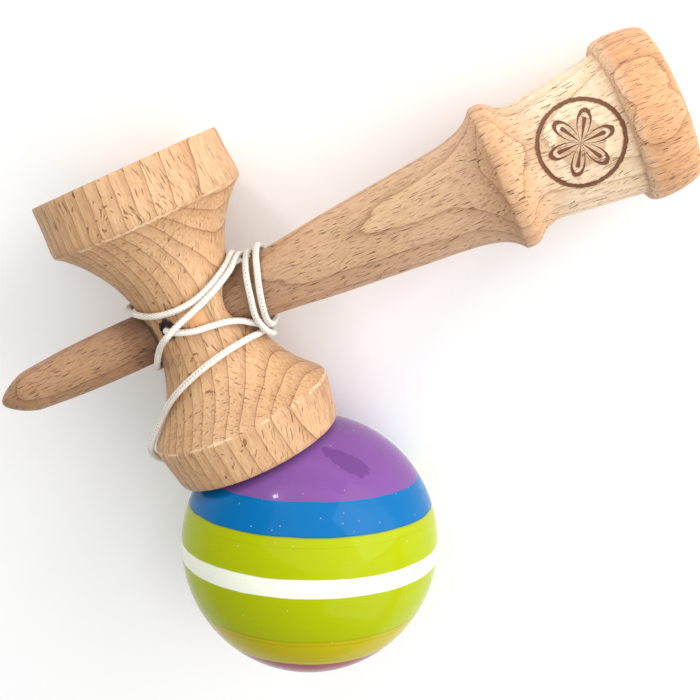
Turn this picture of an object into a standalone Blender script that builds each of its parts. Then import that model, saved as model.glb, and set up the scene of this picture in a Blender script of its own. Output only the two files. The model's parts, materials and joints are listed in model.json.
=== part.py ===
"""A kendama at rest on a table: the ken lies on its side with the sarado pushed onto it, the tama sits in the
sarado's small cup, and the string is wound round the waist and the handle.

It is modelled in the toy's own frame first, in millimetres: the ken's axis is X (spike to -X), the sarado's
axis is close to Y (big cup to +Y) and Z is up. The pieces then lean together until the tama, the big cup and
the base cup all touch the table, and the whole toy is centred over the origin."""

import math

import bpy
from mathutils import Matrix, Vector

MM = 0.001

# Driving dimensions, in millimetres.
TAMA_RADIUS = 30.0
TAMA_CENTRE = (1.2, -59.6, 0.0)      # in the sarado's frame: the string holds it just off the small cup's rim
TAMA_POLE = (0.433, 0.894, -0.115)   # from the tama's centre to its string hole, in the ken's frame
SPIKE_HOLE_RADIUS = 9.5
SPIKE_HOLE_DEPTH = 42.0
SPIKE_HOLE_BEVEL = 2.4
STRING_HOLE_RADIUS = 1.7
STRING_HOLE_FLARE = 0.9

SARADO_TURN = -1.3                   # degrees, the sarado's small error from square on the ken
BIG_RIM_Y = 36.0
BIG_RIM_RADIUS = 21.4
BIG_BOWL_RADIUS = 19.6
BIG_BOWL_DEPTH = 14.0
SMALL_RIM_Y = -34.0
SMALL_RIM_RADIUS = 19.2
SMALL_BOWL_RADIUS = 18.3
SMALL_BOWL_DEPTH = 12.0
BORE_GAP = 0.25                      # between the ken and the sarado's bore
KNOT_POCKET_RADIUS = 2.5

BASE_RIM_X = 111.5
BASE_RIM_RADIUS = 15.7
BASE_BOWL_RADIUS = 14.2
BASE_BOWL_DEPTH = 9.0

STRING_DIAMETER = 1.5
STRING_POINTS = 96
KNOT_RADIUS = 2.1
KNOT_HALF_HEIGHT = 1.05
BEAD_RADIUS = 4.0
BEAD_HOLE_RADIUS = 1.2

TURNED_STEPS = 64                    # faces round a turned piece

# (x, radius) down the ken, from the spike's tip to the base cup's outer edge.
KEN_OUTLINE = (
    (-50.8, 0.0), (-50.4, 0.9), (-49.0, 2.1), (-46.2, 3.7), (-43.8, 4.6), (-42.6, 4.85), (-37.5, 5.25),
    (-32.0, 5.6), (-26.0, 5.8), (-20.0, 5.85), (-11.0, 5.85), (0.0, 6.15), (11.0, 6.5), (15.0, 6.8),
    (20.0, 7.25), (25.0, 7.8), (30.0, 8.4), (36.0, 9.0), (45.0, 9.85), (52.5, 10.5), (60.0, 11.15),
    (64.5, 11.7), (67.5, 12.4), (69.5, 13.1), (71.2, 14.1), (72.4, 15.2), (73.1, 16.0), (74.0, 16.2),
    (75.5, 16.1), (76.4, 15.7), (77.2, 14.9), (78.4, 14.0), (80.0, 13.35), (82.0, 13.1), (84.5, 13.4),
    (88.0, 13.9), (92.0, 14.4), (96.0, 14.9), (99.2, 15.4), (100.3, 15.6), (100.3, 16.5), (100.6, 17.1),
    (101.4, 17.6), (102.8, 17.85), (105.0, 17.9), (107.2, 17.7), (109.2, 17.3), (110.6, 16.8), (111.3, 16.2),
    (BASE_RIM_X, BASE_RIM_RADIUS),
)

# (y, radius) down the sarado's outside, from the small cup's rim to the big cup's rim.
SARADO_OUTLINE = (
    (SMALL_RIM_Y, SMALL_RIM_RADIUS), (-33.6, 19.5), (-31.0, 20.1), (-27.0, 20.8), (-25.0, 21.15),
    (-23.9, 21.2), (-23.1, 20.9), (-22.0, 20.0), (-20.3, 18.4), (-18.0, 16.4), (-15.0, 14.5), (-12.0, 13.1),
    (-9.0, 12.0), (-6.0, 11.3), (-3.0, 11.0), (0.0, 10.9), (4.0, 11.1), (8.0, 11.6), (10.0, 12.1),
    (12.6, 13.0), (15.6, 14.5), (19.0, 16.7), (21.0, 18.3), (23.4, 20.7), (24.0, 21.6), (24.9, 22.2),
    (28.0, 22.05), (31.5, 21.8), (35.7, 21.6), (BIG_RIM_Y, BIG_RIM_RADIUS),
)

# The string's route in the ken's frame, in millimetres, stretch by stretch.
STRING_ROUTE = (
    # out of the sarado's hole and across the waist to the underside of the handle
    (-4.6, 1.2, 9.0), (-4.4, 1.2, 10.6), (-3.6, 0.9, 12.0), (-1.6, 0.0, 12.6), (1.8, -1.2, 12.2),
    (5.0, -1.8, 11.1), (8.0, -2.6, 9.3), (10.6, -4.0, 7.3), (12.5, -5.9, 5.5), (13.6, -7.7, 1.9),
    # behind the handle, over its own next turn, and up to the far turn
    (14.4, -7.4, -3.6), (15.4, -4.6, -8.8), (17.0, -0.2, -10.4), (18.6, 3.9, -8.7), (19.5, 7.2, -4.6),
    (19.7, 8.6, 0.3),
    # down the front as the far turn, and behind again
    (19.4, 7.3, 4.6), (18.6, 4.2, 7.1), (17.5, 0.5, 8.3), (16.5, -3.0, 8.0), (15.6, -6.1, 6.0),
    (15.3, -8.3, 1.4), (16.0, -7.3, -4.4), (16.5, -2.5, -8.2), (16.8, 3.0, -8.1), (17.0, 7.0, -4.4),
    # down the front as the near turn, then low across the back of the waist
    (17.1, 8.3, 0.3), (16.7, 7.0, 4.2), (16.0, 4.2, 7.1), (15.0, -0.4, 8.3), (14.0, -4.5, 7.5),
    (14.0, -8.1, 5.1), (14.3, -10.4, 1.2), (13.3, -10.6, -4.2), (9.6, -9.1, -9.5), (3.5, -5.5, -12.4),
    (-3.0, -0.5, -12.0), (-8.4, 4.5, -9.2), (-11.9, 7.5, -3.8),
    # round above the spike and across the front to the top of the handle
    (-12.5, 8.0, 1.5), (-10.4, 7.3, 7.3), (-7.6, 5.9, 9.7), (-4.0, 5.0, 11.7), (0.6, 4.5, 12.4),
    (5.0, 4.9, 11.6), (9.0, 6.2, 9.2), (12.4, 8.1, 4.3), (13.4, 9.4, -0.6),
    # behind the waist, over the stretch that runs the other way, to below the spike
    (12.0, 7.8, -6.8), (7.2, 4.6, -11.2), (2.8, 1.8, -13.4), (-2.0, -1.4, -14.1), (-6.8, -4.3, -11.5),
    (-10.6, -6.2, -7.3), (-12.9, -7.2, -1.6),
    # up across the front and over the hole, then close beside the other long stretch
    (-12.4, -6.5, 3.3), (-10.5, -4.6, 7.1), (-8.5, -2.6, 9.4), (-6.2, -0.9, 12.1), (-3.6, 0.4, 14.0),
    (-0.6, 1.6, 13.9), (3.4, 2.8, 12.7), (6.7, 3.9, 11.7), (9.9, 5.2, 9.8), (13.1, 6.9, 6.1), (14.9, 8.6, 1.0),
    # behind the handle to its underside
    (14.9, 7.2, -4.4), (14.4, 3.0, -8.3), (13.7, -3.0, -8.2), (13.0, -7.4, -4.7), (12.9, -9.0, -0.6),
    # slantwise down the front of the small cup's flare to its left side
    (12.5, -8.7, 3.7), (10.3, -8.1, 8.0), (5.7, -8.1, 11.8), (1.8, -8.7, 13.2), (-2.2, -9.7, 13.5),
    (-7.6, -11.7, 12.5), (-11.7, -13.9, 10.4), (-14.9, -16.3, 8.6), (-18.4, -19.2, 7.5), (-21.7, -22.2, 6.1),
    # down the band and behind it, over the rim and into the small cup
    (-22.9, -25.0, 3.2), (-22.4, -28.6, -1.8), (-21.1, -32.1, -6.6), (-19.9, -34.8, -9.0), (-17.9, -35.8, -8.7),
    (-15.7, -34.1, -8.1), (-12.8, -32.6, -7.8), (-9.3, -30.7, -8.2), (-3.5, -28.6, -8.8), (4.5, -28.3, -8.0),
    (10.0, -29.3, -6.2), (13.0, -30.6, -4.3), (13.1, -32.4, -3.6),
)


def clear_scene():
    for old in list(bpy.data.objects):
        bpy.data.objects.remove(old)


def material(name, color, roughness):
    made = bpy.data.materials.new(name)
    made.use_nodes = True
    shader = made.node_tree.nodes["Principled BSDF"]
    shader.inputs["Base Color"].default_value = (*color, 1.0)
    shader.inputs["Roughness"].default_value = roughness
    return made


def add_object(name, data, look, place):
    """The new object, placed by a matrix in millimetres of the ken's frame."""
    made = bpy.data.objects.new(name, data)
    made.matrix_world = TO_WORLD @ place
    made.data.materials.append(look)
    bpy.context.scene.collection.objects.link(made)
    return made


def turned_mesh(name, outline, steps=TURNED_STEPS):
    """A closed solid turned about +X from (x, radius) points, which start and end on the axis or form a loop."""
    vertices, rings = [], []
    looped = outline[0] == outline[-1]
    for x, radius in outline[:-1] if looped else outline:
        if radius < 1e-6:
            rings.append([len(vertices)])
            vertices.append((x, 0.0, 0.0))
            continue
        rings.append(list(range(len(vertices), len(vertices) + steps)))
        for step in range(steps):
            angle = 2 * math.pi * step / steps
            vertices.append((x, radius * math.cos(angle), radius * math.sin(angle)))
    if looped:
        rings.append(rings[0])
    faces = []
    for first, second in zip(rings, rings[1:]):
        for step in range(steps):
            after = (step + 1) % steps
            if len(first) == 1:
                faces.append((first[0], second[step], second[after]))
            elif len(second) == 1:
                faces.append((first[step], second[0], first[after]))
            else:
                faces.append((first[step], second[step], second[after], first[after]))
    mesh = bpy.data.meshes.new(name)
    mesh.from_pydata(vertices, [], [tuple(reversed(face)) for face in faces])
    mesh.shade_smooth()
    mesh.set_sharp_from_angle(angle=math.radians(35))
    return mesh


def dish(rim_at, rim_radius, depth, toward, rows=9):
    """(x, radius) down a round dish from its rim to its lowest point on the axis."""
    sphere = (rim_radius**2 + depth**2) / (2 * depth)
    widest = math.asin(rim_radius / sphere)
    found = []
    for row in range(rows + 1):
        angle = widest * (1 - row / rows)
        below = sphere * math.cos(angle) - (sphere - depth)
        found.append((rim_at + toward * below, sphere * math.sin(angle)))
    return found


def ball(radius, rows, first_angle=0.0, last_angle=math.pi):
    """(x, radius) over a ball from its +X pole to its -X pole, between two polar angles."""
    angles = [first_angle + (last_angle - first_angle) * row / rows for row in range(rows + 1)]
    return [(radius * math.cos(angle), radius * math.sin(angle)) for angle in angles]


def along(axis, centre=(0, 0, 0)):
    """The matrix that turns +X to an axis and moves the origin to a centre."""
    turn = Vector((1, 0, 0)).rotation_difference(Vector(axis))
    return Matrix.Translation(Vector(centre)) @ turn.to_matrix().to_4x4()


def cut(target, name, outline, place, steps=32):
    """Cuts a turned shape out of the target."""
    cutter = bpy.data.objects.new(name, turned_mesh(name, outline, steps))
    cutter.matrix_world = TO_WORLD @ place
    cutter.hide_render = True
    cutter.display_type = "WIRE"
    bpy.context.scene.collection.objects.link(cutter)
    boolean = target.modifiers.new(name, "BOOLEAN")
    boolean.object = cutter
    boolean.solver = "EXACT"


def lowest(outline, place, normal):
    """How far a turned outline reaches against a normal, as a height over the plane through the origin."""
    axis = (place.to_3x3() @ Vector((1, 0, 0))).normalized()
    slope = axis.dot(normal)
    spread = math.sqrt(max(0.0, 1 - slope * slope))
    return min(place.to_translation().dot(normal) + x * slope - radius * spread for x, radius in outline)


def table_plane():
    """The up direction and the height of the table, in the ken's frame, that all three supports touch."""
    lean_x, lean_y = 0.0, 0.0
    for _ in range(40):
        up = Vector((lean_x, lean_y, 1)).normalized()
        base = lowest(KEN_OUTLINE, Matrix.Identity(4), up)
        big_cup = lowest(SARADO_OUTLINE, SARADO_PLACE, up)
        tama = TAMA_PLACE.to_translation().dot(up) - TAMA_RADIUS
        lean_y += 0.5 * (tama - big_cup) / 95
        lean_x += 0.5 * ((tama + big_cup) / 2 - base) / 110
    return up, big_cup


def stand_on_table():
    """The matrix from the ken's frame, in millimetres, to the world, in metres."""
    up, height = table_plane()
    side = up.cross(Vector((1, 0, 0))).normalized()
    front = side.cross(up)
    turn = Matrix((front, side, up)).to_4x4()
    lows, highs = [], []
    for place, outline in ((Matrix.Identity(4), KEN_OUTLINE), (SARADO_PLACE, SARADO_OUTLINE),
                           (TAMA_PLACE, ball(TAMA_RADIUS, 48))):
        placed = turn @ place
        axis = placed.to_3x3() @ Vector((1, 0, 0))
        for row in (0, 1):
            spread = math.sqrt(max(0.0, 1 - axis[row] ** 2))
            at = placed.to_translation()[row]
            lows.append(min(at + x * axis[row] - radius * spread for x, radius in outline))
            highs.append(max(at + x * axis[row] + radius * spread for x, radius in outline))
    shift = Vector((
        -(min(lows[0::2]) + max(highs[0::2])) / 2,
        -(min(lows[1::2]) + max(highs[1::2])) / 2,
        -height,
    ))
    return Matrix.Scale(MM, 4) @ Matrix.Translation(shift) @ turn


def smooth_curve(points, samples):
    """Evenly spaced points along a centripetal Catmull-Rom curve through the points."""
    points = [Vector(p) for p in points]
    points = [2 * points[0] - points[1], *points, 2 * points[-1] - points[-2]]
    fine = []
    for p0, p1, p2, p3 in zip(points, points[1:], points[2:], points[3:]):
        t1 = (p1 - p0).length ** 0.5
        t2 = t1 + (p2 - p1).length ** 0.5
        t3 = t2 + (p3 - p2).length ** 0.5
        for step in range(24):
            t = t1 + (t2 - t1) * step / 24
            a1 = p0.lerp(p1, t / t1)
            a2 = p1.lerp(p2, (t - t1) / (t2 - t1))
            a3 = p2.lerp(p3, (t - t2) / (t3 - t2))
            b1 = a1.lerp(a2, t / t2)
            b2 = a2.lerp(a3, (t - t1) / (t3 - t1))
            fine.append(b1.lerp(b2, (t - t1) / (t2 - t1)))
    fine.append(points[-2])
    reached = [0.0]
    for first, second in zip(fine, fine[1:]):
        reached.append(reached[-1] + (second - first).length)
    found, at = [], 0
    for sample in range(samples):
        want = reached[-1] * sample / (samples - 1)
        while at < len(fine) - 2 and reached[at + 1] < want:
            at += 1
        share = (want - reached[at]) / (reached[at + 1] - reached[at])
        found.append(fine[at].lerp(fine[at + 1], share))
    return found


def ken():
    outline = list(KEN_OUTLINE) + dish(BASE_RIM_X, BASE_BOWL_RADIUS, BASE_BOWL_DEPTH, -1)
    return add_object("ken", turned_mesh("ken", outline), BEECH, Matrix.Identity(4))


def sarado():
    outline = dish(SMALL_RIM_Y, SMALL_BOWL_RADIUS, SMALL_BOWL_DEPTH, 1)[::-1]
    outline += list(SARADO_OUTLINE)
    outline += dish(BIG_RIM_Y, BIG_BOWL_RADIUS, BIG_BOWL_DEPTH, -1)
    made = add_object("sarado", turned_mesh("sarado", outline), BEECH, SARADO_PLACE)
    bore = [(-16.0, 0.0), (-16.0, 5.85 + BORE_GAP), (-11.0, 5.85 + BORE_GAP), (0.0, 6.15 + BORE_GAP),
            (11.0, 6.5 + BORE_GAP), (18.0, 6.7 + BORE_GAP), (18.0, 0.0)]
    cut(made, "bore_cutter", bore, Matrix.Identity(4), 48)
    hole = [(0.0, 0.0), (0.0, KNOT_POCKET_RADIUS), (3.0, KNOT_POCKET_RADIUS), (3.0, STRING_HOLE_RADIUS),
            (8.0, STRING_HOLE_RADIUS), (8.0, 0.0)]
    cut(made, "string_hole_cutter", hole, SARADO_HOLE, 20)
    return made


def tama():
    """A ball with a bevelled spike hole at one pole and the string's hole at the other."""
    radius = STRING_HOLE_RADIUS
    flare = radius + STRING_HOLE_FLARE
    top = math.asin(flare / TAMA_RADIUS)
    mouth = SPIKE_HOLE_RADIUS + SPIKE_HOLE_BEVEL
    bottom = math.pi - math.asin(mouth / TAMA_RADIUS)
    mouth_x = TAMA_RADIUS * math.cos(bottom)
    floor_x = -TAMA_RADIUS + SPIKE_HOLE_DEPTH
    rim_x = TAMA_RADIUS * math.cos(top)
    outline = ball(TAMA_RADIUS, 30, top, bottom)
    outline += [
        (mouth_x + SPIKE_HOLE_BEVEL, SPIKE_HOLE_RADIUS),
        (floor_x, SPIKE_HOLE_RADIUS),
        (floor_x + 3.5, radius),
        (rim_x - STRING_HOLE_FLARE, radius),
        (rim_x, flare),
    ]
    mesh = turned_mesh("tama", closed_ring(outline[::-1]))
    return add_object("tama", mesh, LACQUER, TAMA_PLACE)


def closed_ring(outline):
    """Marks an outline that doesn't reach the axis as one loop, by repeating its first point."""
    return outline + [outline[0]]


def string():
    points = [Vector(p) for p in STRING_ROUTE] + tail_points()
    curve = bpy.data.curves.new("string", "CURVE")
    curve.dimensions = "3D"
    curve.bevel_depth = STRING_DIAMETER / 2
    curve.bevel_resolution = 2
    curve.use_fill_caps = True
    spline = curve.splines.new("POLY")
    route = smooth_curve(points, STRING_POINTS)
    spline.points.add(len(route) - 1)
    for point, place in zip(spline.points, route):
        point.co = (*place, 1.0)
    return add_object("string", curve, NYLON, Matrix.Identity(4))


def tail_points():
    """The string's last points, straight down the tama's string hole to the knot under the bead."""
    centre, pole = TAMA_PLACE.to_translation(), Vector(TAMA_POLE).normalized()
    return [centre + pole * reach for reach in (28.6, 24.0, 19.0, 14.0, 9.0, KNOT_AT + KNOT_HALF_HEIGHT + 0.3)]


def bead():
    outline = ball(BEAD_RADIUS, 10, math.asin(BEAD_HOLE_RADIUS / BEAD_RADIUS),
                   math.pi - math.asin(BEAD_HOLE_RADIUS / BEAD_RADIUS))
    mesh = turned_mesh("bead", closed_ring(outline[::-1]), 24)
    return add_object("bead", mesh, BEAD_LOOK, along_pole(BEAD_AT))


def knot(name, place):
    squash = KNOT_HALF_HEIGHT / KNOT_RADIUS
    outline = [(x * squash, radius) for x, radius in ball(KNOT_RADIUS, 10)[::-1]]
    return add_object(name, turned_mesh(name, outline, 20), NYLON, place)


def along_pole(reach):
    centre, pole = TAMA_PLACE.to_translation(), Vector(TAMA_POLE).normalized()
    return along(pole, centre + pole * reach)


BEAD_AT = 7.2                        # from the tama's centre towards its string hole
KNOT_AT = BEAD_AT - BEAD_RADIUS - KNOT_HALF_HEIGHT - 0.1
SARADO_TURNED = Matrix.Rotation(math.radians(SARADO_TURN), 4, "Z")
SARADO_PLACE = SARADO_TURNED @ along((0, 1, 0))
TAMA_PLACE = along(Vector(TAMA_POLE).normalized(), SARADO_TURNED @ Vector(TAMA_CENTRE))
SARADO_HOLE = along((0, 0, 1), (-4.1, 1.2, 5.6))
KNOT_PLACE = SARADO_HOLE @ Matrix.Translation((1.75, 0, 0))
TO_WORLD = stand_on_table()

clear_scene()
BEECH = material("beech", (0.66, 0.42, 0.24), 0.6)
LACQUER = material("lacquer", (0.45, 0.6, 0.03), 0.12)
NYLON = material("nylon", (0.88, 0.86, 0.8), 0.7)
BEAD_LOOK = material("bead", (0.75, 0.72, 0.66), 0.4)
ken()
sarado()
tama()
bead()
string()
knot("sarado_knot", KNOT_PLACE)
knot("bead_knot", along_pole(KNOT_AT))
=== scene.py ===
"""The looks of a kendama at rest on its side: turned beech, a lacquered ball and a wound white string.

Every piece is made in the toy's own frame: X along the handle, Y towards the big cup, Z up, with the origin
where the handle's axis crosses the crosspiece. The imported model's joints give that frame's place."""

import json
import math

import bpy
from mathutils import Matrix, Vector


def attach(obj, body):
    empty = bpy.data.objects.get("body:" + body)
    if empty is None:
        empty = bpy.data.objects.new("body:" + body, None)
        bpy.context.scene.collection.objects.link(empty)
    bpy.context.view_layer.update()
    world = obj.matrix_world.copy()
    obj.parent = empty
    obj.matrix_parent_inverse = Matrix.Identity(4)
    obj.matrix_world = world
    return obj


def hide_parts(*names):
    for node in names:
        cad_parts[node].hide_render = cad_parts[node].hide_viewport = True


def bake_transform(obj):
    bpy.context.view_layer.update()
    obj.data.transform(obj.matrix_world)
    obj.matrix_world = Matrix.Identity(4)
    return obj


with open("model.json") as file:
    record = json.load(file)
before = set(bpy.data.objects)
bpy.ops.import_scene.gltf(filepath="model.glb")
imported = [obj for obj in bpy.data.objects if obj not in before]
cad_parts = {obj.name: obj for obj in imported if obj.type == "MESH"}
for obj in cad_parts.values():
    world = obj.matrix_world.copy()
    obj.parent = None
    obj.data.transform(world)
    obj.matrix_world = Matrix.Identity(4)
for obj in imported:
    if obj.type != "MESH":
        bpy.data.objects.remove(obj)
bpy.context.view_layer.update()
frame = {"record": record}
MM = 0.001

# ---------------------------------------------------------------- the toy's frame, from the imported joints
JOINTS = {joint["name"]: joint for joint in frame["record"]["behaviour"]["joints"]}
SARADO_TURN = math.radians(-1.3)     # the sarado's small error from square on the ken
TAMA_CENTRE = Vector((-0.1525, -59.6119, 0.0)) * MM


def toy_frame():
    """The toy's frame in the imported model's: its axes from two joints' axes, its origin from the ball's place."""
    x_axis = -Vector(JOINTS["sarado_slide"]["axis"]).normalized()
    lift = -Vector(JOINTS["string_slack"]["axis"])
    z_axis = x_axis.cross(lift).normalized()
    y_axis = z_axis.cross(x_axis)
    turn = Matrix((x_axis, y_axis, z_axis)).transposed().to_4x4()
    origin = Vector(JOINTS["tama_spin"]["pos_m"]) - turn.to_3x3() @ TAMA_CENTRE
    return Matrix.Translation(origin) @ turn


TOY = toy_frame()
SARADO = TOY @ Matrix.Rotation(SARADO_TURN, 4, "Z")
POLE = (TOY.to_3x3().transposed() @ Vector(JOINTS["tama_spin"]["axis"])).normalized()
TAMA_TURN = Vector((0, 0, 1)).rotation_difference(POLE).to_matrix()
TAMA = TOY @ Matrix.Translation(TAMA_CENTRE) @ TAMA_TURN.to_4x4()

# ---------------------------------------------------------------- sizes, in millimetres, as in the CAD
TAMA_RADIUS = 30.0
SPIKE_HOLE_RADIUS, SPIKE_HOLE_DEPTH, SPIKE_HOLE_BEVEL = 9.5, 42.0, 2.4
STRING_HOLE_RADIUS, STRING_HOLE_FLARE = 1.7, 0.9
BIG_RIM_Y, BIG_BOWL_RADIUS, BIG_BOWL_DEPTH = 36.0, 19.6, 14.0
SMALL_RIM_Y, SMALL_BOWL_RADIUS, SMALL_BOWL_DEPTH = -34.0, 18.3, 12.0
BASE_RIM_X, BASE_BOWL_RADIUS, BASE_BOWL_DEPTH = 111.5, 14.2, 9.0
SPIKE_HOLE_CONE = 3.5                # how far the drill's point goes past the hole's floor
BORE_GAP = 0.25
STRING_RADIUS = 0.72
POCKET_FLOOR = Vector((-4.1, 1.2, 5.6))     # the string's hole in the sarado, and its knot's pocket, from here up
POCKET_RADIUS, POCKET_HEIGHT, STRING_HOLE_HEIGHT = 2.5, 3.0, 8.0
POCKET_KNOT_LIFT = 1.75
BEAD_AT, BEAD_RADIUS, BEAD_HOLE_RADIUS = 7.2, 4.0, 1.2
KNOT_RADIUS, KNOT_HALF_HEIGHT = 2.1, 1.05
KNOT_AT = BEAD_AT - BEAD_RADIUS - KNOT_HALF_HEIGHT - 0.1
TAIL_REACHES = (28.6, 24.0, 19.0, 14.0, 9.0, KNOT_AT + KNOT_HALF_HEIGHT + 0.3)     # along the ball's axis
TURNED_STEPS, BORE_STEPS, DRILLED_STEPS, BEAD_STEPS = 160, 96, 28, 48
BALL_ROWS, BEAD_ROWS, DISH_ROWS = 90, 24, 20
CURVE_PARTS, OUTLINE_PARTS = 24, 4   # steps from each point of the route, or of an outline, to the next
STRING_SIDES, STRING_SPACING = 14, 0.5
BRAID_REPEAT = 2.6                   # millimetres of cord to one unit of its UVs
SHARP_ANGLE = math.radians(40)

KEN_OUTLINE = (
    (-50.8, 0.0), (-50.4, 0.9), (-49.0, 2.1), (-46.2, 3.7), (-43.8, 4.6), (-42.6, 4.85), (-37.5, 5.25),
    (-32.0, 5.6), (-26.0, 5.8), (-20.0, 5.85), (-11.0, 5.85), (0.0, 6.15), (11.0, 6.5), (15.0, 6.8),
    (20.0, 7.25), (25.0, 7.8), (30.0, 8.4), (36.0, 9.0), (45.0, 9.85), (52.5, 10.5), (60.0, 11.15),
    (64.5, 11.7), (67.5, 12.4), (69.5, 13.1), (71.2, 14.1), (72.4, 15.2), (73.1, 16.0), (74.0, 16.2),
    (75.5, 16.1), (76.4, 15.7), (77.2, 14.9), (78.4, 14.0), (80.0, 13.35), (82.0, 13.1), (84.5, 13.4),
    (88.0, 13.9), (92.0, 14.4), (96.0, 14.9), (99.2, 15.4), (100.3, 15.6), (100.3, 16.5), (100.6, 17.1),
    (101.4, 17.6), (102.8, 17.85), (105.0, 17.9), (107.2, 17.7), (109.2, 17.3), (110.6, 16.8), (111.3, 16.2),
    (BASE_RIM_X, 15.7),
)
SARADO_OUTLINE = (
    (SMALL_RIM_Y, 19.2), (-33.6, 19.5), (-31.0, 20.1), (-27.0, 20.8), (-25.0, 21.15),
    (-23.9, 21.2), (-23.1, 20.9), (-22.0, 20.0), (-20.3, 18.4), (-18.0, 16.4), (-15.0, 14.5), (-12.0, 13.1),
    (-9.0, 12.0), (-6.0, 11.3), (-3.0, 11.0), (0.0, 10.9), (4.0, 11.1), (8.0, 11.6), (10.0, 12.1),
    (12.6, 13.0), (15.6, 14.5), (19.0, 16.7), (21.0, 18.3), (23.4, 20.7), (24.0, 21.6), (24.9, 22.2),
    (28.0, 22.05), (31.5, 21.8), (35.7, 21.6), (BIG_RIM_Y, 21.4),
)
# The sarado's bore: the ken's own taper inside the wood, run on past it at both ends. BORE_GAP is added all round.
BORE_OUTLINE = ((-16.0, 5.85), (-11.0, 5.85), (0.0, 6.15), (11.0, 6.5), (18.0, 6.7))
# The string's route in the ken's frame, in millimetres, stretch by stretch.
STRING_ROUTE = (
    # out of the sarado's hole and across the waist to the underside of the handle
    (-4.6, 1.2, 9.0), (-4.4, 1.2, 10.6), (-3.6, 0.9, 12.0), (-1.6, 0.0, 12.6), (1.8, -1.2, 12.2),
    (5.0, -1.8, 11.1), (8.0, -2.6, 9.3), (10.6, -4.0, 7.3), (12.5, -5.9, 5.5), (13.6, -7.7, 1.9),
    # behind the handle, over its own next turn, and up to the far turn
    (14.4, -7.4, -3.6), (15.4, -4.6, -8.8), (17.0, -0.2, -10.4), (18.6, 3.9, -8.7), (19.5, 7.2, -4.6),
    (19.7, 8.6, 0.3),
    # down the front as the far turn, and behind again
    (19.4, 7.3, 4.6), (18.6, 4.2, 7.1), (17.5, 0.5, 8.3), (16.5, -3.0, 8.0), (15.6, -6.1, 6.0),
    (15.3, -8.3, 1.4), (16.0, -7.3, -4.4), (16.5, -2.5, -8.2), (16.8, 3.0, -8.1), (17.0, 7.0, -4.4),
    # down the front as the near turn, then low across the back of the waist
    (17.1, 8.3, 0.3), (16.7, 7.0, 4.2), (16.0, 4.2, 7.1), (15.0, -0.4, 8.3), (14.0, -4.5, 7.5),
    (14.0, -8.1, 5.1), (14.3, -10.4, 1.2), (13.3, -10.6, -4.2), (9.6, -9.1, -9.5), (3.5, -5.5, -12.4),
    (-3.0, -0.5, -12.0), (-8.4, 4.5, -9.2), (-11.9, 7.5, -3.8),
    # round above the spike and across the front to the top of the handle
    (-12.5, 8.0, 1.5), (-10.4, 7.3, 7.3), (-7.6, 5.9, 9.7), (-4.0, 5.0, 11.7), (0.6, 4.5, 12.4),
    (5.0, 4.9, 11.6), (9.0, 6.2, 9.2), (12.4, 8.1, 4.3), (13.4, 9.4, -0.6),
    # behind the waist, over the stretch that runs the other way, to below the spike
    (12.0, 7.8, -6.8), (7.2, 4.6, -11.2), (2.8, 1.8, -13.4), (-2.0, -1.4, -14.1), (-6.8, -4.3, -11.5),
    (-10.6, -6.2, -7.3), (-12.9, -7.2, -1.6),
    # up across the front and over the hole, then close beside the other long stretch
    (-12.4, -6.5, 3.3), (-10.5, -4.6, 7.1), (-8.5, -2.6, 9.4), (-6.2, -0.9, 12.1), (-3.6, 0.4, 14.0),
    (-0.6, 1.6, 13.9), (3.4, 2.8, 12.7), (6.7, 3.9, 11.7), (9.9, 5.2, 9.8), (13.1, 6.9, 6.1), (14.9, 8.6, 1.0),
    # behind the handle to its underside
    (14.9, 7.2, -4.4), (14.4, 3.0, -8.3), (13.7, -3.0, -8.2), (13.0, -7.4, -4.7), (12.9, -9.0, -0.6),
    # slantwise down the front of the small cup's flare to its left side
    (12.5, -8.7, 3.7), (10.3, -8.1, 8.0), (5.7, -8.1, 11.8), (1.8, -8.7, 13.2), (-2.2, -9.7, 13.5),
    (-7.6, -11.7, 12.5), (-11.7, -13.9, 10.4), (-14.9, -16.3, 8.6), (-18.4, -19.2, 7.5), (-21.7, -22.2, 6.1),
    # down the band and behind it, over the rim and into the small cup
    (-22.9, -25.0, 3.2), (-22.4, -28.6, -1.8), (-21.1, -32.1, -6.6), (-19.9, -34.8, -9.0), (-17.9, -35.8, -8.7),
    (-15.7, -34.1, -8.1), (-12.8, -32.6, -7.8), (-9.3, -30.7, -8.2), (-3.5, -28.6, -8.8), (4.5, -28.3, -8.0),
    (10.0, -29.3, -6.2), (13.0, -30.6, -4.3), (13.1, -32.4, -3.6),
)

# The camera in the toy's frame: where it stands, in millimetres, its right and its up.
CAMERA_PLACE = Vector((69.08, 32.87, 239.09))
CAMERA_RIGHT, CAMERA_UP = Vector((0.90383, -0.42388, -0.05847)), Vector((0.39501, 0.87907, -0.26683))
SENSOR_WIDTH, LENS = 36.0, 57.0

# Soft lamps: name, metres along the camera's right, up and back from the toy's middle, width and height, watts.
LAMPS = (
    ("key", (0.78, 0.36, 0.35), (1.0, 1.2), 10.0),
    ("overhead", (0.15, 0.2, 0.75), (1.6, 1.2), 6.3),
    ("fill", (0.6, -0.5, 0.4), (0.8, 0.8), 2.6),
)
# A small lamp whose reflection is the white fleck on the ball's shoulder.
GLINT = ("glint", (-0.223, 0.3485, 0.2805), (0.06, 0.036), 0.5)
FLECK = Vector((4.0, 20.5, 21.6))    # from the ball's centre, in millimetres
TOY_MIDDLE = Vector((25, -10, 0))
WORLD_STRENGTH = 0.46


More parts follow.
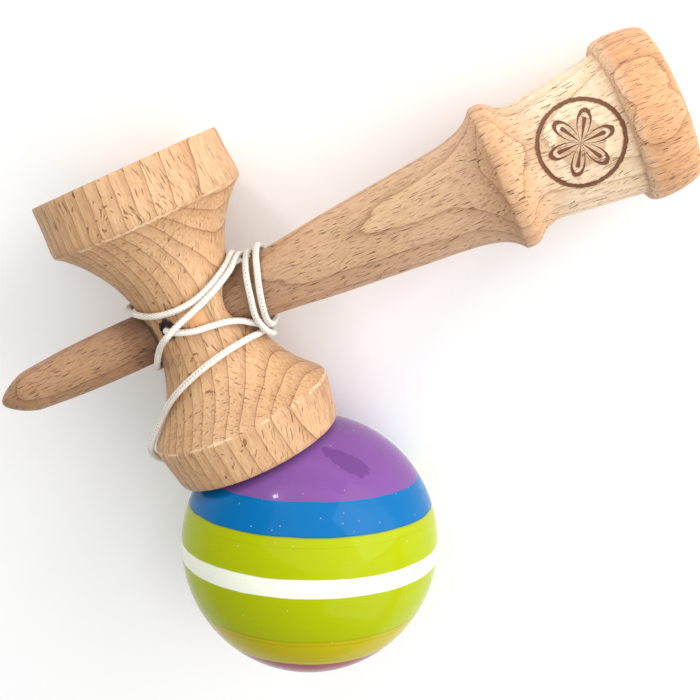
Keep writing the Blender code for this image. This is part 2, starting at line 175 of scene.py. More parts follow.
# ---------------------------------------------------------------- camera
def add_camera():
    right = CAMERA_RIGHT.normalized()
    back = right.cross(CAMERA_UP).normalized()
    up = back.cross(right)
    turn = Matrix((right, up, back)).transposed().to_4x4()
    data = bpy.data.cameras.new("camera")
    data.sensor_width, data.lens = SENSOR_WIDTH, LENS
    data.clip_start, data.clip_end = 0.01, 20.0
    camera = bpy.data.objects.new("camera", data)
    camera.matrix_world = TOY @ Matrix.Translation(CAMERA_PLACE * MM) @ turn
    bpy.context.scene.collection.objects.link(camera)
    bpy.context.scene.camera = camera
    return camera


# ---------------------------------------------------------------- shader graphs
class Graph:
    """Short names for the nodes of one material."""

    def __init__(self, name):
        self.material = bpy.data.materials.new(name)
        self.material.use_nodes = True
        self.tree = self.material.node_tree
        self.shader = self.tree.nodes["Principled BSDF"]

    def node(self, kind, inputs=(), out=0, **settings):
        made = self.tree.nodes.new(kind)
        for key, value in settings.items():
            setattr(made, key, value)
        for key, value in dict(inputs).items():
            self.set(made.inputs[key], value)
        return made.outputs[out]

    def set(self, socket, value):
        if isinstance(value, bpy.types.NodeSocket):
            self.tree.links.new(value, socket)
        elif isinstance(value, (tuple, list)) and socket.type == "RGBA" and len(value) == 3:
            socket.default_value = (*value, 1.0)
        else:
            socket.default_value = value

    def math(self, operation, a, b=0.0, c=0.0, clamp=False):
        return self.node("ShaderNodeMath", {0: a, 1: b, 2: c}, operation=operation, use_clamp=clamp)

    def add(self, a, b):
        return self.math("ADD", a, b)

    def sub(self, a, b):
        return self.math("SUBTRACT", a, b)

    def mul(self, a, b):
        return self.math("MULTIPLY", a, b)

    def vector(self, operation, a, b=(0, 0, 0)):
        out = 1 if operation in ("DOT_PRODUCT", "LENGTH") else 0
        return self.node("ShaderNodeVectorMath", {0: a, 1: b}, out=out, operation=operation)

    def dot(self, a, direction):
        return self.vector("DOT_PRODUCT", a, tuple(direction))

    def split(self, a):
        """The vector's x, y and z."""
        return [self.dot(a, axis) for axis in ((1, 0, 0), (0, 1, 0), (0, 0, 1))]

    def combine(self, x, y, z):
        return self.node("ShaderNodeCombineXYZ", {0: x, 1: y, 2: z})

    def reach(self, a, b):
        """The length of the flat vector (a, b)."""
        return self.math("SQRT", self.add(self.mul(a, a), self.mul(b, b)))

    def noise(self, vector, scale=1.0, detail=2.0, rough=0.5):
        return self.node("ShaderNodeTexNoise", {"Vector": vector, "Scale": scale, "Detail": detail,
                                                "Roughness": rough})

    def ragged(self, vector, scale, size, detail=3.0, rough=0.5):
        """Noise to both sides of nought, size from end to end."""
        return self.mul(self.sub(self.noise(vector, scale, detail, rough), 0.5), size)

    def step(self, value, low, high, first=0.0, last=1.0):
        """A smooth step from first to last as the value goes from low to high."""
        return self.node("ShaderNodeMapRange", {0: value, 1: low, 2: high, 3: first, 4: last},
                         interpolation_type="SMOOTHSTEP")

    def line(self, value, low, high, first=0.0, last=1.0):
        """A straight run from first to last as the value goes from low to high."""
        return self.node("ShaderNodeMapRange", {0: value, 1: low, 2: high, 3: first, 4: last})

    def local(self):
        """The point in the piece's own frame, in millimetres, as stored with its mesh."""
        return self.node("ShaderNodeAttribute", out=1, attribute_name="local_mm")

    def mix(self, factor, a, b, blend="MIX"):
        made = self.tree.nodes.new("ShaderNodeMix")
        made.data_type, made.blend_type = "RGBA", blend
        for key, value in ((0, factor), (6, a), (7, b)):
            self.set(made.inputs[key], value)
        return made.outputs[2]

    def ramp(self, value, stops):
        made = self.tree.nodes.new("ShaderNodeValToRGB")
        elements = made.color_ramp.elements
        while len(elements) < len(stops):
            elements.new(0.5)
        for element, (place, color) in zip(elements, stops):
            element.position = place
            element.color = (*color, 1.0)
        self.set(made.inputs[0], value)
        return made.outputs[0]

    def bump(self, height, distance, strength=1.0, normal=None):
        inputs = {"Height": height, "Distance": distance, "Strength": strength}
        if normal is not None:
            inputs["Normal"] = normal
        return self.node("ShaderNodeBump", inputs)

    def finish(self, **inputs):
        for key, value in inputs.items():
            self.set(self.shader.inputs[key.replace("_", " ")], value)
        return self.material


def srgb(red, green, blue):
    """Linear values from the 0 to 255 values of a screen colour."""
    return tuple((value / 255 / 12.92) if value <= 10 else ((value / 255 + 0.055) / 1.055) ** 2.4
                 for value in (red, green, blue))


# ---------------------------------------------------------------- beech
def beech(graph, grain, ring, spacing, offset, drift=3.0, wobble=0.5, bend=0.002, dash=(6.0, 0.5, 0.0)):
    """Beech in three dimensions, in millimetres: (local, rings, dashes, fibres, patches).

    The fibres run along grain, and the growth rings are layers across ring that end in a crisp dark line.
    The long dashes are the rays, thin blades that lie along the grain and go in across the rings; the faint
    short ones are thin both ways. dash is (how close across, how close along, how few)."""
    grain, ring = Vector(grain).normalized(), Vector(ring)
    ring = (ring - grain * ring.dot(grain)).normalized()
    across = grain.cross(ring)
    local = graph.local()
    point = graph.vector("ADD", local, offset)
    along = graph.dot(point, grain)
    deep = graph.dot(point, ring)
    side = graph.dot(point, across)

    slow = graph.noise(graph.combine(graph.mul(along, 0.018), graph.mul(deep, 0.05), graph.mul(side, 0.05)))
    quick = graph.noise(graph.combine(graph.mul(along, 0.09), graph.mul(deep, 0.3), graph.mul(side, 0.3)))
    bowed = graph.mul(graph.mul(side, side), bend)
    layered = graph.add(graph.add(deep, bowed), graph.add(graph.mul(slow, drift), graph.mul(quick, wobble)))
    phase = graph.math("FRACT", graph.math("DIVIDE", layered, spacing))
    rings = graph.ramp(phase, ((0.0, (0.20,) * 3), (0.03, (0.0,) * 3), (0.45, (0.06,) * 3),
                               (0.84, (0.30,) * 3), (0.94, (0.55,) * 3), (0.975, (1.0,) * 3)))

    close_across, close_along, fewer = dash
    ray_side = graph.add(side, graph.ragged(point, 0.13, 2.0, 1.0))
    blade = graph.combine(graph.mul(ray_side, close_across), graph.mul(along, close_along), graph.mul(deep, 0.8))
    fleck = graph.combine(graph.mul(ray_side, 6.5), graph.mul(along, 0.6), graph.mul(deep, 3.0))
    long = graph.noise(blade, detail=1.0, rough=0.4)
    short = graph.noise(fleck, detail=0.0)
    crowd = graph.noise(point, 0.08, 1.0)
    long = graph.step(graph.add(long, graph.mul(crowd, 0.08)), 0.685 + fewer, 0.715 + fewer)
    short = graph.step(graph.add(short, graph.mul(crowd, 0.10)), 0.70, 0.79)
    dashes = graph.math("MAXIMUM", long, graph.mul(short, 0.22))

    fibres = graph.noise(graph.combine(graph.mul(side, 1.9), graph.mul(along, 0.17), graph.mul(deep, 1.9)),
                         detail=4.0, rough=0.72)
    patches = graph.noise(graph.combine(graph.mul(side, 0.09), graph.mul(along, 0.03), graph.mul(deep, 0.09)),
                          detail=3.0)
    return local, rings, dashes, fibres, patches


def wood_color(graph, base, parts, tint):
    """The base colour darkened by the rings, rays, fibres and patches, in the wood's own brown."""
    _, rings, dashes, fibres, patches = parts
    color = graph.mix(graph.line(patches, 0.3, 0.7, 0.0, 0.45), base, tint["patch"], "MULTIPLY")
    color = graph.mix(graph.line(fibres, 0.36, 0.66), color, tint["fibre"], "MULTIPLY")
    color = graph.mix(graph.mul(rings, tint["ring_strength"]), color, tint["ring"], "MULTIPLY")
    return graph.mix(graph.mul(dashes, tint["dash_strength"]), color, tint["dash"], "MULTIPLY")


WOOD_TINT = {"patch": (0.90, 0.85, 0.80), "fibre": (0.78, 0.71, 0.64), "ring": (0.54, 0.42, 0.32),
             "dash": (0.24, 0.14, 0.08), "ring_strength": 0.95, "dash_strength": 0.7}
HANDLE_TINT = {**WOOD_TINT, "fibre": (0.82, 0.76, 0.71), "ring_strength": 0.7, "dash_strength": 0.85}


def wood_bump(graph, parts):
    """Raised fibres and fine grit, with the dashes and the rings' dark lines sunk."""
    point, rings, dashes, fibres, _ = parts
    grit = graph.noise(point, 2.6, 3.0, 0.6)
    height = graph.add(graph.mul(fibres, 0.5), graph.mul(grit, 0.35))
    height = graph.sub(height, graph.mul(dashes, 0.75))
    height = graph.sub(height, graph.mul(rings, 0.18))
    return graph.bump(height, 0.00013, 0.8)


def ken_material():
    """Flat-sawn beech, darkest where it runs through the sarado, which is painted shade, and palest round the neck,
    which is painted light.
    """
    graph = Graph("beech_handle")
    parts = beech(graph, grain=(1, 0.01, -0.02), ring=(0, 0.22, 1), spacing=3.6, offset=(3.0, 17.0, 6.0),
                  drift=7.0, wobble=0.9, bend=0.004, dash=(5.4, 0.36, 0.0))
    local, _, _, fibres, _ = parts
    along = graph.dot(local, (1, 0, 0))
    # The ramp's dark stretch beside the sarado is painted shade, and its pale stretch round the neck is painted
    # light.
    base = graph.ramp(graph.line(along, -52.0, 112.0), (
        (0.0, srgb(178, 136, 99)), (0.08, srgb(188, 148, 111)), (0.2, srgb(180, 139, 102)),
        (0.235, srgb(150, 110, 79)), (0.25, srgb(138, 101, 73)), (0.33, srgb(140, 106, 80)),
        (0.41, srgb(174, 138, 107)), (0.48, srgb(206, 169, 133)), (0.6, srgb(212, 174, 137)),
        (0.73, srgb(216, 179, 143)), (0.79, srgb(226, 180, 137)), (0.84, srgb(255, 232, 200)),
        (0.92, srgb(255, 230, 196)), (0.945, srgb(226, 173, 125)), (1.0, srgb(228, 177, 129))))
    color = wood_color(graph, base, parts, HANDLE_TINT)
    mark, edge = burnt_mark(graph, local, along)
    color = graph.mix(edge, color, srgb(178, 126, 82))
    color = graph.mix(mark, color, graph.mix(fibres, srgb(92, 50, 28), srgb(140, 88, 54)))
    normal = graph.bump(mark, -0.0004, 0.9, wood_bump(graph, parts))
    rough = graph.line(fibres, 0.3, 0.7, 0.5, 0.66)
    return graph.finish(Base_Color=color, Roughness=rough, Normal=normal)


def burnt_mark(graph, local, along):
    """A plain six-petalled rosette in a ring, burnt into the handle's neck: (burn, scorched edge)."""
    centre_x, size = 90.6, 9.2       # the sizes below are in parts of this one
    petal_reach, petal_line, ring_radius, ring_line, ragged = 0.74, 0.055, 0.93, 0.05, 0.07
    facing = Vector((0, 0.117, 0.993)).normalized()
    sideways = facing.cross(Vector((1, 0, 0)))
    front = graph.step(graph.dot(local, facing), 2.0, 4.0)
    x = graph.math("DIVIDE", graph.sub(along, centre_x), size)
    y = graph.math("DIVIDE", graph.dot(local, sideways), size)
    radius = graph.add(graph.reach(x, y), graph.ragged(local, 1.1, ragged, rough=0.6))
    angle = graph.math("ARCTAN2", y, x)
    petal = graph.math("POWER", graph.math("ABSOLUTE", graph.math("COSINE", graph.mul(angle, 3.0))), 0.75)
    inside = graph.sub(graph.mul(petal, petal_reach), radius)
    leaf = graph.sub(petal_line, graph.math("ABSOLUTE", graph.sub(inside, 0.05)))
    vein = graph.sub(graph.mul(graph.step(petal, 0.965, 0.995), 0.03), graph.step(radius, 0.5, 0.62, 0.0, 0.1))
    rim = graph.sub(ring_line, graph.math("ABSOLUTE", graph.sub(radius, ring_radius)))
    line = graph.math("MAXIMUM", graph.math("MAXIMUM", leaf, rim), vein)
    burn = graph.mul(graph.step(line, -0.005, 0.022), front)
    edge = graph.mul(graph.step(line, -0.03, 0.0, 0.0, 0.4), front)
    return burn, edge


def hole_and_seam_painted_shade(graph, local):
    """Painted shade: the dark ragged mouth of the string's hole and the dark seam where the spike comes out."""
    x, y, z = graph.split(local)
    tear = graph.ragged(local, 0.9, 2.6, rough=0.7)
    from_hole = graph.reach(graph.sub(x, POCKET_FLOOR.x), graph.mul(graph.sub(y, POCKET_FLOOR.y), 0.85))
    mouth = graph.mul(graph.step(graph.add(from_hole, tear), 1.7, 2.3, 1.0, 0.0), graph.step(z, 2.0, 4.0))
    seam = graph.mul(graph.step(graph.add(graph.reach(y, z), tear), 7.0, 8.6, 0.9, 0.0),
                     graph.step(x, -8.0, -6.0, 1.0, 0.0))
    return graph.math("MAXIMUM", mouth, seam)


def sarado_wear(graph, local):
    """(polished spot beside the hole, pale torn line along the two corners between band and flare)."""
    x, y, z = graph.split(local)
    spot_x, spot_y = 2.7, 0.8
    across = graph.step(graph.math("ABSOLUTE", graph.sub(x, spot_x)), 1.5, 2.1, 1.0, 0.0)
    down = graph.step(graph.math("ABSOLUTE", graph.sub(y, spot_y)), 1.0, 1.5, 1.0, 0.0)
    spot = graph.mul(graph.mul(across, down), graph.step(z, 8.0, 9.0))
    torn = graph.noise(local, 0.35, 2.0)
    small_corner, big_corner = -23.7, 24.2
    y = graph.add(y, graph.ragged(local, 0.8, 1.6, 4.0, 0.7))
    from_small, from_big = (graph.math("ABSOLUTE", graph.sub(y, corner)) for corner in (small_corner, big_corner))
    line = graph.step(graph.math("MINIMUM", from_small, from_big), 0.12, 0.36, 1.0, 0.0)
    return spot, graph.mul(line, graph.step(torn, 0.4, 0.56))


def sarado_material():
    """Quarter-sawn beech, so its rings show as close lines that run from cup to cup."""
    graph = Graph("beech_cups")
    parts = beech(graph, grain=(0.03, 1, 0.02), ring=(1, 0, 0.1), spacing=2.8, offset=(11.0, 4.0, 23.0),
                  drift=2.6, wobble=0.5, bend=0.004, dash=(5.6, 0.27, 0.01))
    local, _, _, fibres, patches = parts
    base = graph.ramp(patches, ((0.3, srgb(223, 182, 139)), (0.55, srgb(216, 175, 131)),
                                (0.75, srgb(209, 167, 124))))
    color = wood_color(graph, base, parts, WOOD_TINT)
    spot, torn = sarado_wear(graph, local)
    color = graph.mix(graph.mul(spot, 0.75), color, srgb(232, 172, 112))
    color = graph.mix(graph.mul(torn, 0.5), color, srgb(255, 226, 186))
    # The mouth of the string's hole and the seam round the spike are darkened with painted shade.
    color = graph.mix(hole_and_seam_painted_shade(graph, local), color, srgb(58, 34, 22))
    rough = graph.line(fibres, 0.3, 0.7, 0.48, 0.64)
    return graph.finish(Base_Color=color, Roughness=rough, Normal=wood_bump(graph, parts))


# ---------------------------------------------------------------- lacquer
PURPLE, BLUE, LIME = srgb(124, 80, 148), srgb(0, 104, 166), srgb(167, 179, 0)
WHITE, MUSTARD, MAGENTA = srgb(240, 243, 226), srgb(188, 174, 0), srgb(142, 26, 64)
# Where each band starts, in millimetres up the ball's axis from the spike hole's end, which is magenta.
BANDS = ((-21.48, MUSTARD), (-13.88, LIME), (-2.87, WHITE), (1.33, LIME), (9.94, BLUE), (16.75, PURPLE))
# The brush's darker rings: how far up the axis, half their width, how strong.
BRUSH_RINGS = ((9.94, 0.35, 0.55), (1.33, 0.22, 0.35), (-2.87, 0.22, 0.45), (-13.88, 0.3, 0.5), (-15.1, 0.2, 0.5),
               (-19.2, 0.14, 0.4), (-20.2, 0.2, 0.6), (-21.48, 0.3, 0.5), (7.9, 0.14, 0.22))


def painted_dark_reflection(graph, local):
    """A painted dark reflection: a long thin dark patch on the purple lacquer, near the small cup's rim."""
    middle = Vector((19.0, 18.9, 13.3))
    along, wide = Vector((0.610, -0.786, 0.074)), Vector((0.772, 0.574, -0.262))
    outward = along.cross(wide)
    u, v, out = (graph.dot(local, TAMA_TURN.transposed() @ axis) for axis in (along, wide, outward))
    u, v = graph.sub(u, middle.dot(along)), graph.sub(v, middle.dot(wide))
    front = graph.step(graph.mul(out, math.copysign(1.0, middle.dot(outward))), 0.0, 3.0)
    half_length, half_width, widening = 6.4, 1.6, 0.09
    reach = graph.reach(graph.math("DIVIDE", u, half_length),
                        graph.math("DIVIDE", v, graph.add(half_width, graph.mul(u, widening))))
    return graph.mul(graph.step(graph.add(reach, graph.ragged(local, 0.7, 0.7)), 0.93, 1.03, 1.0, 0.0), front)


def lacquer_material():
    """Bands of colour across the ball's axis, brushed on while it turned, under clear gloss."""
    graph = Graph("lacquer_bands")
    local = graph.local()
    x, y, height = graph.split(local)
    turned = graph.noise(graph.combine(graph.mul(x, 0.12), graph.mul(y, 0.12), graph.mul(height, 0.5)), detail=3.0)
    edge = graph.add(height, graph.mul(graph.sub(turned, 0.5), 0.5))
    color, soft_edge = MAGENTA, 0.13
    for start, paint in BANDS:
        color = graph.mix(graph.step(edge, start - soft_edge, start + soft_edge), color, paint)
    streak = graph.noise(graph.combine(graph.mul(turned, 2.0), 0.0, graph.mul(height, 2.4)), detail=4.0, rough=0.7)
    color = graph.mix(graph.line(streak, 0.35, 0.75, 0.0, 0.22), color, (0.72, 0.72, 0.6), "MULTIPLY")
    for at, width, amount in BRUSH_RINGS:
        near = graph.step(graph.math("ABSOLUTE", graph.sub(edge, at)), width * 0.4, width, amount, 0.0)
        color = graph.mix(near, color, (0.62, 0.62, 0.25), "MULTIPLY")
    # A long dark patch on the purple lacquer is a painted reflection.
    color = graph.mix(graph.mul(painted_dark_reflection(graph, local), 0.62), color, (0.62, 0.58, 0.66), "MULTIPLY")
    dust = graph.node("ShaderNodeTexVoronoi", {"Vector": local, "Scale": 0.42})
    speck = graph.step(dust, 0.035, 0.075, 1.0, 0.0)
    color = graph.mix(graph.mul(speck, 0.35), color, (0.9, 0.9, 0.88))
    skin = graph.noise(local, 0.16, 2.0)
    fine = graph.noise(local, 1.7, 2.0)
    relief = graph.add(graph.add(skin, graph.mul(fine, 0.03)), graph.mul(speck, 0.12))
    normal = graph.bump(relief, 0.0002, 0.5)
    rough = graph.line(fine, 0.3, 0.7, 0.16, 0.24)
    return graph.finish(Base_Color=color, Roughness=rough, Normal=normal, Coat_Weight=0.16,
                        Coat_Roughness=0.03, Coat_Normal=normal, IOR=1.14)


# ---------------------------------------------------------------- string
def string_material(name="braided_string", shade=0.0):
    """White braid: two sets of strands that cross, with painted shade in the grooves between them, three stitched
    lines along it and, down in its hole, a darker end of painted shade and dirt. The pattern follows UVs that run
    round and along the cord. shade darkens it all over, as painted shade and dirt."""
    graph = Graph(name)
    uv = graph.node("ShaderNodeUVMap", uv_map="braid")
    round_by = graph.dot(uv, (1, 0, 0))
    along = graph.dot(uv, (0, 1, 0))
    turn = 2 * math.pi
    strand = graph.mul(round_by, 4.0)
    left = graph.math("SINE", graph.mul(graph.add(strand, along), turn))
    right = graph.math("SINE", graph.mul(graph.sub(strand, along), turn))
    over = graph.step(graph.mul(left, right), -0.5, 0.5)
    strands = graph.mix(over, graph.math("ABSOLUTE", left), graph.math("ABSOLUTE", right))
    local = graph.local()
    fuzz = graph.noise(local, 5.0, 3.0, 0.7)
    dirt = graph.noise(local, 0.25, 2.0)
    # The darker colour between the strands is painted shade in the braid's grooves.
    color = graph.mix(graph.step(strands, 0.05, 0.6), srgb(208, 197, 180), srgb(249, 246, 238))
    across = graph.math("ABSOLUTE", graph.sub(graph.math("FRACT", graph.mul(round_by, 3.0)), 0.5))
    stitch = graph.mul(graph.step(across, 0.07, 0.15, 1.0, 0.0),
                       graph.step(graph.math("FRACT", graph.mul(along, 3.2)), 0.5, 0.62))
    color = graph.mix(graph.mul(stitch, 0.6), color, srgb(168, 152, 132))
    color = graph.mix(graph.line(dirt, 0.4, 0.75, 0.0, 0.4), color, srgb(232, 224, 212), "MULTIPLY")
    x, y, z = graph.split(local)
    # Down in the sarado's hole the cord is darkened: painted shade, and dirt.
    from_hole = graph.reach(graph.sub(x, POCKET_FLOOR.x), graph.sub(y, POCKET_FLOOR.y))
    sunk = graph.mul(graph.step(from_hole, 2.4, 3.2, 1.0, 0.0), graph.step(z, 10.4, 11.6, 0.8, 0.0))
    color = graph.mix(graph.math("MAXIMUM", sunk, shade), color, srgb(96, 72, 56), "MULTIPLY")
    height = graph.sub(graph.add(strands, graph.mul(fuzz, 0.35)), graph.mul(stitch, 0.6))
    normal = graph.bump(height, 0.00016, 0.9)
    return graph.finish(Base_Color=color, Roughness=0.72, Normal=normal, Sheen_Weight=0.25,
                        Sheen_Roughness=0.5)


def bead_material():
    graph = Graph("bead_wood")
    parts = beech(graph, grain=(0, 0, 1), ring=(1, 0.3, 0), spacing=1.6, offset=(31.0, 7.0, 2.0))
    color = wood_color(graph, srgb(214, 186, 150), parts, WOOD_TINT)
    return graph.finish(Base_Color=color, Roughness=0.5, Normal=wood_bump(graph, parts))


def floor_material():
    graph = Graph("pale_floor")
    local = graph.node("ShaderNodeTexCoord", out=3)
    cloud = graph.noise(local, 3.0, 3.0)
    grit = graph.noise(local, 900.0, 2.0)
    color = graph.mix(graph.line(cloud, 0.3, 0.7, 0.0, 1.0), (0.95, 0.95, 0.95), (0.97, 0.97, 0.97))
    return graph.finish(Base_Color=color, Roughness=0.7, Normal=graph.bump(grit, 0.00005, 0.3))


# ---------------------------------------------------------------- meshes
def curve_through(points, parts):
    """A centripetal Catmull-Rom curve through the points, with parts steps from each to the next."""
    points = [2 * points[0] - points[1], *points, 2 * points[-1] - points[-2]]
    found = []
    for p0, p1, p2, p3 in zip(points, points[1:], points[2:], points[3:]):
        t1 = (p1 - p0).length ** 0.5
        t2 = t1 + (p2 - p1).length ** 0.5
        t3 = t2 + (p3 - p2).length ** 0.5
        for step in range(parts):
            t = t1 + (t2 - t1) * step / parts
            a1 = p0.lerp(p1, t / t1)
            a2 = p1.lerp(p2, (t - t1) / (t2 - t1))
            a3 = p2.lerp(p3, (t - t2) / (t3 - t2))
            b1 = a1.lerp(a2, t / t2)
            b2 = a2.lerp(a3, (t - t1) / (t3 - t1))
            found.append(b1.lerp(b2, (t - t1) / (t2 - t1)))
    found.append(points[-2])
    return found


def evenly_spaced(points, spacing):
    """(points at equal distances along the smooth curve through the points, the curve's length)."""
    fine = curve_through([Vector(point) for point in points], CURVE_PARTS)
    reached = [0.0]
    for first, second in zip(fine, fine[1:]):
        reached.append(reached[-1] + (second - first).length)
    samples = max(2, round(reached[-1] / spacing))
    found, at = [], 0
    for sample in range(samples):
        want = reached[-1] * sample / (samples - 1)
        while at < len(fine) - 2 and reached[at + 1] < want:
            at += 1
        share = (want - reached[at]) / (reached[at + 1] - reached[at])
        found.append(fine[at].lerp(fine[at + 1], share))
    return found, reached[-1]


def finer(outline):
    """The outline with more points, on a smooth curve, so that its corners are softly broken."""
    fine = curve_through([Vector((along, radius, 0)) for along, radius in outline], OUTLINE_PARTS)
    return [(point.x, max(0.0, point.y)) for point in fine]


def dish(rim_at, rim_radius, depth, toward):
    """(along, radius) down a round dish from its rim to its lowest point on the axis."""
    sphere = (rim_radius**2 + depth**2) / (2 * depth)
    widest = math.asin(rim_radius / sphere)
    found = []
    for row in range(DISH_ROWS + 1):
        angle = widest * (1 - row / DISH_ROWS)
        below = sphere * math.cos(angle) - (sphere - depth)
        found.append((rim_at + toward * below, sphere * math.sin(angle)))
    return found


def arc(radius, rows, first, last):
    """(along, radius) over a ball between two polar angles."""
    return [(radius * math.cos(first + (last - first) * row / rows),
             radius * math.sin(first + (last - first) * row / rows)) for row in range(rows + 1)]


def mesh_of(name, vertices, faces):
    mesh = bpy.data.meshes.new(name)
    mesh.from_pydata(vertices, [], faces)
    mesh.shade_smooth()
    return mesh


def linked(name, data):
    """A new object with this data, linked to the scene."""
    made = bpy.data.objects.new(name, data)
    bpy.context.scene.collection.objects.link(made)
    return made


def turned_mesh(name, outline, axis, steps=TURNED_STEPS):
    """A closed solid turned about an axis, "X", "Y" or "Z", from (along, radius) points in millimetres."""
    slots = {"X": (0, 1, 2), "Y": (1, 2, 0), "Z": (2, 0, 1)}[axis]
    vertices, rings = [], []
    looped = outline[0] == outline[-1]
    for along, radius in outline[:-1] if looped else outline:
        count = 1 if radius < 1e-6 else steps
        rings.append(list(range(len(vertices), len(vertices) + count)))
        for step in range(count):
            angle = 2 * math.pi * step / steps
            place = [0.0, 0.0, 0.0]
            place[slots[0]] = along * MM
            place[slots[1]] = radius * math.cos(angle) * MM
            place[slots[2]] = radius * math.sin(angle) * MM
            vertices.append(place)
    if looped:
        rings.append(rings[0])
    faces = []
    for first, second in zip(rings, rings[1:]):
        for step in range(steps):
            after = (step + 1) % steps
            if len(first) == 1:
                faces.append((first[0], second[after], second[step]))
            elif len(second) == 1:
                faces.append((first[step], first[after], second[0]))
            else:
                faces.append((first[step], first[after], second[after], second[step]))
    mesh = mesh_of(name, vertices, faces)
    mesh.set_sharp_from_angle(angle=SHARP_ANGLE)
    return mesh


def settled(mesh, place):
    """Moves the mesh to its place and keeps each point's place in its own frame, for the materials."""
    own = mesh.attributes.new("local_mm", "FLOAT_VECTOR", "POINT")
    for vertex, entry in zip(mesh.vertices, own.data):
        entry.vector = vertex.co / MM
    mesh.transform(place)


def add_piece(mesh, look, place, body, node):
    """Links a piece in its place, rides it on its body and hides the CAD node it stands for."""
    settled(mesh, place)
    mesh.materials.append(look)
    made = linked(mesh.name, mesh)
    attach(made, body)
    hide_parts(node)
    return made


def carved(name, mesh, cutters):
    """The mesh with the cutters' shapes removed."""
    body = linked(f"{name}_blank", mesh)
    others = []
    for index, (cutter, place) in enumerate(cutters):
        other = linked(f"{name}_cutter_{index}", cutter)
        other.matrix_world = place
        others.append(other)
        boolean = body.modifiers.new(f"cut_{index}", "BOOLEAN")
        boolean.object = other
        boolean.solver = "EXACT"
    bpy.context.view_layer.update()
    graph = bpy.context.evaluated_depsgraph_get()
    result = bpy.data.meshes.new_from_object(body.evaluated_get(graph))
    for old in (body, *others):
        bpy.data.objects.remove(old)
    result.name = name
    result.shade_smooth()
    result.set_sharp_from_angle(angle=SHARP_ANGLE)
    return result


# ---------------------------------------------------------------- the pieces
def make_ken():
    outline = finer(KEN_OUTLINE) + dish(BASE_RIM_X, BASE_BOWL_RADIUS, BASE_BOWL_DEPTH, -1)
    return add_piece(turned_mesh("ken_wood", outline, "X"), ken_material(), TOY, "ken", "ken")


def make_sarado():
    outline = dish(SMALL_RIM_Y, SMALL_BOWL_RADIUS, SMALL_BOWL_DEPTH, 1)[::-1]
    outline += finer(SARADO_OUTLINE)
    outline += dish(BIG_RIM_Y, BIG_BOWL_RADIUS, BIG_BOWL_DEPTH, -1)
    blank = turned_mesh("sarado_blank", outline, "Y")
    unturn = Matrix.Rotation(-SARADO_TURN, 4, "Z")
    bore = [(BORE_OUTLINE[0][0], 0.0), *((x, radius + BORE_GAP) for x, radius in BORE_OUTLINE),
            (BORE_OUTLINE[-1][0], 0.0)]
    hole = [(0.0, 0.0), (0.0, POCKET_RADIUS), (POCKET_HEIGHT, POCKET_RADIUS), (POCKET_HEIGHT, STRING_HOLE_RADIUS),
            (STRING_HOLE_HEIGHT, STRING_HOLE_RADIUS), (STRING_HOLE_HEIGHT, 0.0)]
    drilled = unturn @ Matrix.Translation(POCKET_FLOOR * MM)
    mesh = carved("sarado_wood", blank, [(turned_mesh("bore", bore, "X", BORE_STEPS), unturn),
                                         (turned_mesh("drilled", hole, "Z", DRILLED_STEPS), drilled)])
    return add_piece(mesh, sarado_material(), SARADO, "sarado", "sarado")


def make_tama():
    radius = STRING_HOLE_RADIUS
    flare = radius + STRING_HOLE_FLARE
    top = math.asin(flare / TAMA_RADIUS)
    mouth = SPIKE_HOLE_RADIUS + SPIKE_HOLE_BEVEL
    bottom = math.pi - math.asin(mouth / TAMA_RADIUS)
    mouth_at = TAMA_RADIUS * math.cos(bottom)
    floor_at = -TAMA_RADIUS + SPIKE_HOLE_DEPTH
    rim_at = TAMA_RADIUS * math.cos(top)
    outline = arc(TAMA_RADIUS, BALL_ROWS, top, bottom)
    outline += [(mouth_at + SPIKE_HOLE_BEVEL, SPIKE_HOLE_RADIUS), (floor_at, SPIKE_HOLE_RADIUS),
                (floor_at + SPIKE_HOLE_CONE, radius), (rim_at - STRING_HOLE_FLARE, radius), (rim_at, flare)]
    mesh = turned_mesh("tama_ball", (outline + [outline[0]])[::-1], "Z")
    return add_piece(mesh, lacquer_material(), TAMA, "tama", "tama")


def make_bead():
    lip = math.asin(BEAD_HOLE_RADIUS / BEAD_RADIUS)
    outline = arc(BEAD_RADIUS, BEAD_ROWS, lip, math.pi - lip)
    mesh = turned_mesh("string_bead", (outline + [outline[0]])[::-1], "Z", BEAD_STEPS)
    place = TAMA @ Matrix.Translation((0, 0, BEAD_AT * MM))
    return add_piece(mesh, bead_material(), place, "string_end", "bead")


def knot_mesh(name):
    """A pulled-tight knot: a low bun with the cord's turns pressed into it, with UVs as on the cord."""
    steps, rows, pressed = 48, 24, 0.10
    braids_round, braids_over = 2, 4
    vertices, faces = [], []
    for row in range(rows + 1):
        polar = math.pi * row / rows
        for step in range(steps):
            angle = 2 * math.pi * step / steps
            swell = 1 - pressed * (0.5 + 0.5 * math.cos(3 * angle + 4 * polar))
            out = KNOT_RADIUS * swell * math.sin(polar)
            vertices.append((out * math.cos(angle) * MM, out * math.sin(angle) * MM,
                             -KNOT_HALF_HEIGHT * math.cos(polar) * MM))
    for row in range(rows):
        for step in range(steps):
            after = (step + 1) % steps
            faces.append((row * steps + step, row * steps + after, (row + 1) * steps + after,
                          (row + 1) * steps + step))
    mesh = mesh_of(name, vertices, faces)
    uv = mesh.uv_layers.new(name="braid")
    for loop in mesh.loops:
        row, step = divmod(loop.vertex_index, steps)
        uv.data[loop.index].uv = (step / steps * braids_round, row / rows * braids_over)
    return mesh


def string_points():
    """The route, then straight down the ball's axis to the knot: (points, length), in millimetres."""
    centre = TAMA_CENTRE / MM
    return evenly_spaced([*STRING_ROUTE, *(centre + POLE * reach for reach in TAIL_REACHES)], STRING_SPACING)


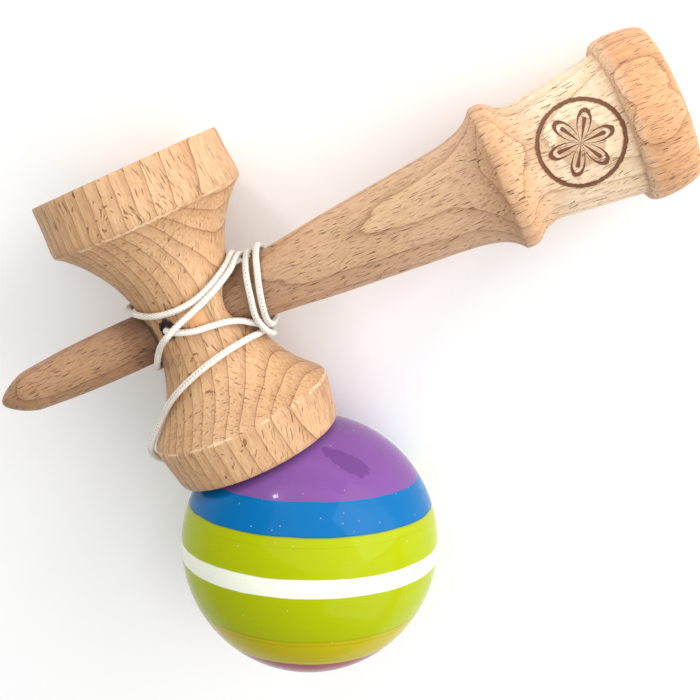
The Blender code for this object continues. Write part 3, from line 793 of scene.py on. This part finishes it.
def make_string(look):
    """The cord as a mesh tube along the route, with UVs that run round it and along it."""
    points, length = string_points()
    sides = STRING_SIDES
    vertices, faces = [], []
    normal = (points[1] - points[0]).orthogonal().normalized()
    for index, point in enumerate(points):
        ahead = points[min(index + 1, len(points) - 1)] - points[max(index - 1, 0)]
        ahead.normalize()
        normal = (normal - ahead * normal.dot(ahead)).normalized()
        other = ahead.cross(normal)
        for side in range(sides):
            angle = 2 * math.pi * side / sides
            vertices.append((point + (normal * math.cos(angle) + other * math.sin(angle)) * STRING_RADIUS) * MM)
    for index in range(len(points) - 1):
        for side in range(sides):
            after = (side + 1) % sides
            low, high = index * sides, (index + 1) * sides
            faces.append((low + side, low + after, high + after, high + side))
    faces.append(tuple(range(sides))[::-1])
    faces.append(tuple(range((len(points) - 1) * sides, len(points) * sides)))
    mesh = mesh_of("string_cord", vertices, faces)
    uv = mesh.uv_layers.new(name="braid")
    step_length = length / (len(points) - 1)
    for polygon in mesh.polygons:
        sides_here = [mesh.loops[i].vertex_index % sides for i in polygon.loop_indices]
        wraps = max(sides_here) - min(sides_here) > sides / 2
        for loop_index in polygon.loop_indices:
            index, side = divmod(mesh.loops[loop_index].vertex_index, sides)
            turned = side + (sides if wraps and side == 0 else 0)
            uv.data[loop_index].uv = (turned / sides, index * step_length / BRAID_REPEAT)
    settled(mesh, TOY)
    mesh.materials.append(look)
    made = linked("string_cord", mesh)
    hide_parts("string")
    return made, [TOY @ (p * MM) for p in points], length * MM


# ---------------------------------------------------------------- light and floor
def add_floor(reach=2):
    mesh = bpy.data.meshes.new("floor")
    corners = [(-reach, -reach, 0), (reach, -reach, 0), (reach, reach, 0), (-reach, reach, 0)]
    mesh.from_pydata(corners, [], [(0, 1, 2, 3)])
    mesh.materials.append(floor_material())
    floor = linked("floor", mesh)


def add_lamp(camera, target, name, offset, size, power):
    """An area lamp at an offset from its target along the camera's right, up and back, facing the target."""
    data = bpy.data.lights.new(name, "AREA")
    data.shape = "RECTANGLE"
    data.size, data.size_y = size
    data.energy = power
    lamp = linked(name, data)
    lamp.location = target + camera.matrix_world.to_3x3() @ Vector(offset)
    lamp.rotation_euler = (lamp.location - target).to_track_quat("Z", "Y").to_euler()


def add_world():
    world = bpy.data.worlds.new("studio")
    bpy.context.scene.world = world
    world.use_nodes = True
    background = world.node_tree.nodes["Background"]
    background.inputs["Color"].default_value = (1.0, 1.0, 1.0, 1.0)
    background.inputs["Strength"].default_value = WORLD_STRENGTH


camera = add_camera()
bpy.context.scene.view_settings.view_transform = "Standard"
string_look = string_material()
string, string_path, string_length = make_string(string_look)
bead = make_bead()
bead_knot = add_piece(knot_mesh("bead_knot_bun"), string_look, TAMA @ Matrix.Translation((0, 0, KNOT_AT * MM)),
                      "string_end", "bead_knot")
pocket_knot_at = (POCKET_FLOOR + Vector((0, 0, POCKET_KNOT_LIFT))) * MM
# The knot in the sarado's pocket gets a darker copy of the string's look: painted shade, and dirt.
sarado_knot = add_piece(knot_mesh("sarado_knot_bun"), string_material("shaded_dirty_string", 0.9),
                        TOY @ Matrix.Translation(pocket_knot_at), "sarado", "sarado_knot")
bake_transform(string)
make_ken()
make_sarado()
make_tama()

add_floor()
add_world()
for lamp in LAMPS:
    add_lamp(camera, TOY @ (TOY_MIDDLE * MM), *lamp)
add_lamp(camera, TOY @ (TAMA_CENTRE + FLECK * MM), *GLINT)
